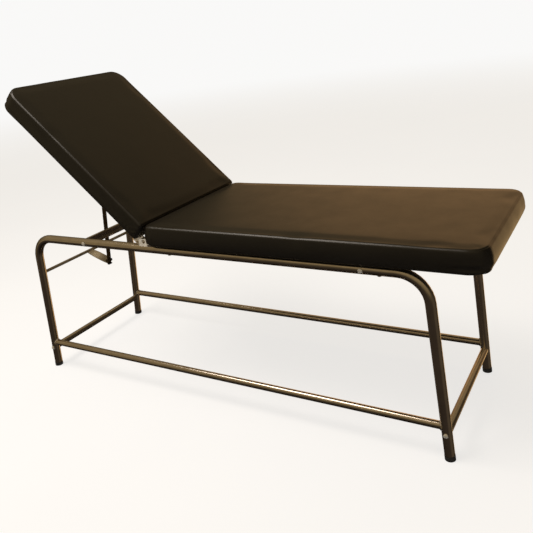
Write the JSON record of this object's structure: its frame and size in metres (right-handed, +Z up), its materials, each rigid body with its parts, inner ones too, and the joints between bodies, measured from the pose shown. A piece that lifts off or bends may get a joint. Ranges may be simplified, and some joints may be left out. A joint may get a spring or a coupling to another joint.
{
  "type": "examination couch",
  "caption": "Examination couch: flat upholstered seat section and hinged backrest raised on a ratchet bar, on a bent-tube frame with splayed legs and low stretchers.",
  "frame": {"origin": "on the floor, under the middle of the bounding box", "axes": "+X along the couch towards the foot end, -Y the side nearer the viewer in the picture, +Z up"},
  "size_m": [1.8286, 0.591, 1.1738],
  "materials": {
    "bright_tube": "bright drawn tube, mirror-like along its length with a faint haze",
    "stay_steel": "plain bright strip and rod, duller than the frame tubes",
    "ratchet_steel": "dark oiled strip with worn edges",
    "bracket_zinc": "satin zinc-plated pressed plate",
    "fastener_zinc": "zinc-plated screws, bolts and nuts",
    "pad_vinyl": "semi-gloss dark leathercloth with a fine grain",
    "pad_foam": "open-cell upholstery foam",
    "pad_board": "unfinished plywood",
    "foot_rubber": "matt black rubber",
    "packer_rubber": "matt black rubber"
  },
  "bodies": {
    "frame": {"bolt_cross_stretcher_foot_far": "fastener_zinc", "bolt_cross_stretcher_foot_near": "fastener_zinc", "bolt_cross_stretcher_head_far": "fastener_zinc", "bolt_cross_stretcher_head_near": "fastener_zinc", "bolt_foot_cross_tube_far": "fastener_zinc", "bolt_foot_cross_tube_near": "fastener_zinc", "bolt_head_cross_tube_far": "fastener_zinc", "bolt_head_cross_tube_near": "fastener_zinc", "catch_arm": "stay_steel", "catch_loop": "ratchet_steel", "cross_stretcher_foot": "bright_tube", "cross_stretcher_head": "bright_tube", "foot_cross_tube": "bright_tube", "head_cross_tube": "bright_tube", "hinge_bolt_far": "fastener_zinc", "hinge_bolt_near": "fastener_zinc", "hinge_bracket_far": "bracket_zinc", "hinge_bracket_near": "bracket_zinc", "hinge_bush_far": "fastener_zinc", "hinge_bush_near": "fastener_zinc", "hinge_nut_far": "fastener_zinc", "hinge_nut_near": "fastener_zinc", "long_stretcher_far": "bright_tube", "long_stretcher_near": "bright_tube", "rubber_foot_foot_far": "foot_rubber", "rubber_foot_foot_near": "foot_rubber", "rubber_foot_head_far": "foot_rubber", "rubber_foot_head_near": "foot_rubber", "seat_board": "pad_board", "seat_cover": "pad_vinyl", "seat_foam": "pad_foam", "seat_packer_far_1": "packer_rubber", "seat_packer_far_2": "packer_rubber", "seat_packer_near_1": "packer_rubber", "seat_packer_near_2": "packer_rubber", "seat_screw_far_1": "fastener_zinc", "seat_screw_far_2": "fastener_zinc", "seat_screw_near_1": "fastener_zinc", "seat_screw_near_2": "fastener_zinc", "side_frame_far": "bright_tube", "side_frame_near": "bright_tube", "stay_bar": "stay_steel", "strap_screw_far_1": "fastener_zinc", "strap_screw_far_2": "fastener_zinc", "strap_screw_near_1": "fastener_zinc", "strap_screw_near_2": "fastener_zinc"},
    "backrest": {"backrest_arm_far": "bracket_zinc", "backrest_arm_near": "bracket_zinc", "backrest_board": "pad_board", "backrest_cover": "pad_vinyl", "backrest_foam": "pad_foam", "backrest_screw_1": "fastener_zinc", "backrest_screw_2": "fastener_zinc", "backrest_screw_3": "fastener_zinc", "backrest_screw_4": "fastener_zinc", "backrest_screw_5": "fastener_zinc", "backrest_screw_6": "fastener_zinc", "clevis_pin": "fastener_zinc", "stay_clevis": "bracket_zinc"},
    "ratchet_bar": {"ratchet_bar": "ratchet_steel"}
  },
  "joints": [
    {"name": "backrest_hinge", "type": "hinge", "parent": "frame", "child": "backrest", "pos_m": [-0.2437, 0, 0.626], "axis": [0, 1, 0], "range_deg": [-43, 0]},
    {"name": "ratchet_pivot", "type": "hinge", "parent": "backrest", "child": "ratchet_bar", "pos_m": [-0.64258, 0, 0.97062], "axis": [0, 1, 0], "range_deg": [-0.5, 24]}
  ],
  "couplings": [
    {"joint": "ratchet_pivot", "follows": "backrest_hinge", "ratio": -0.54}
  ]
}
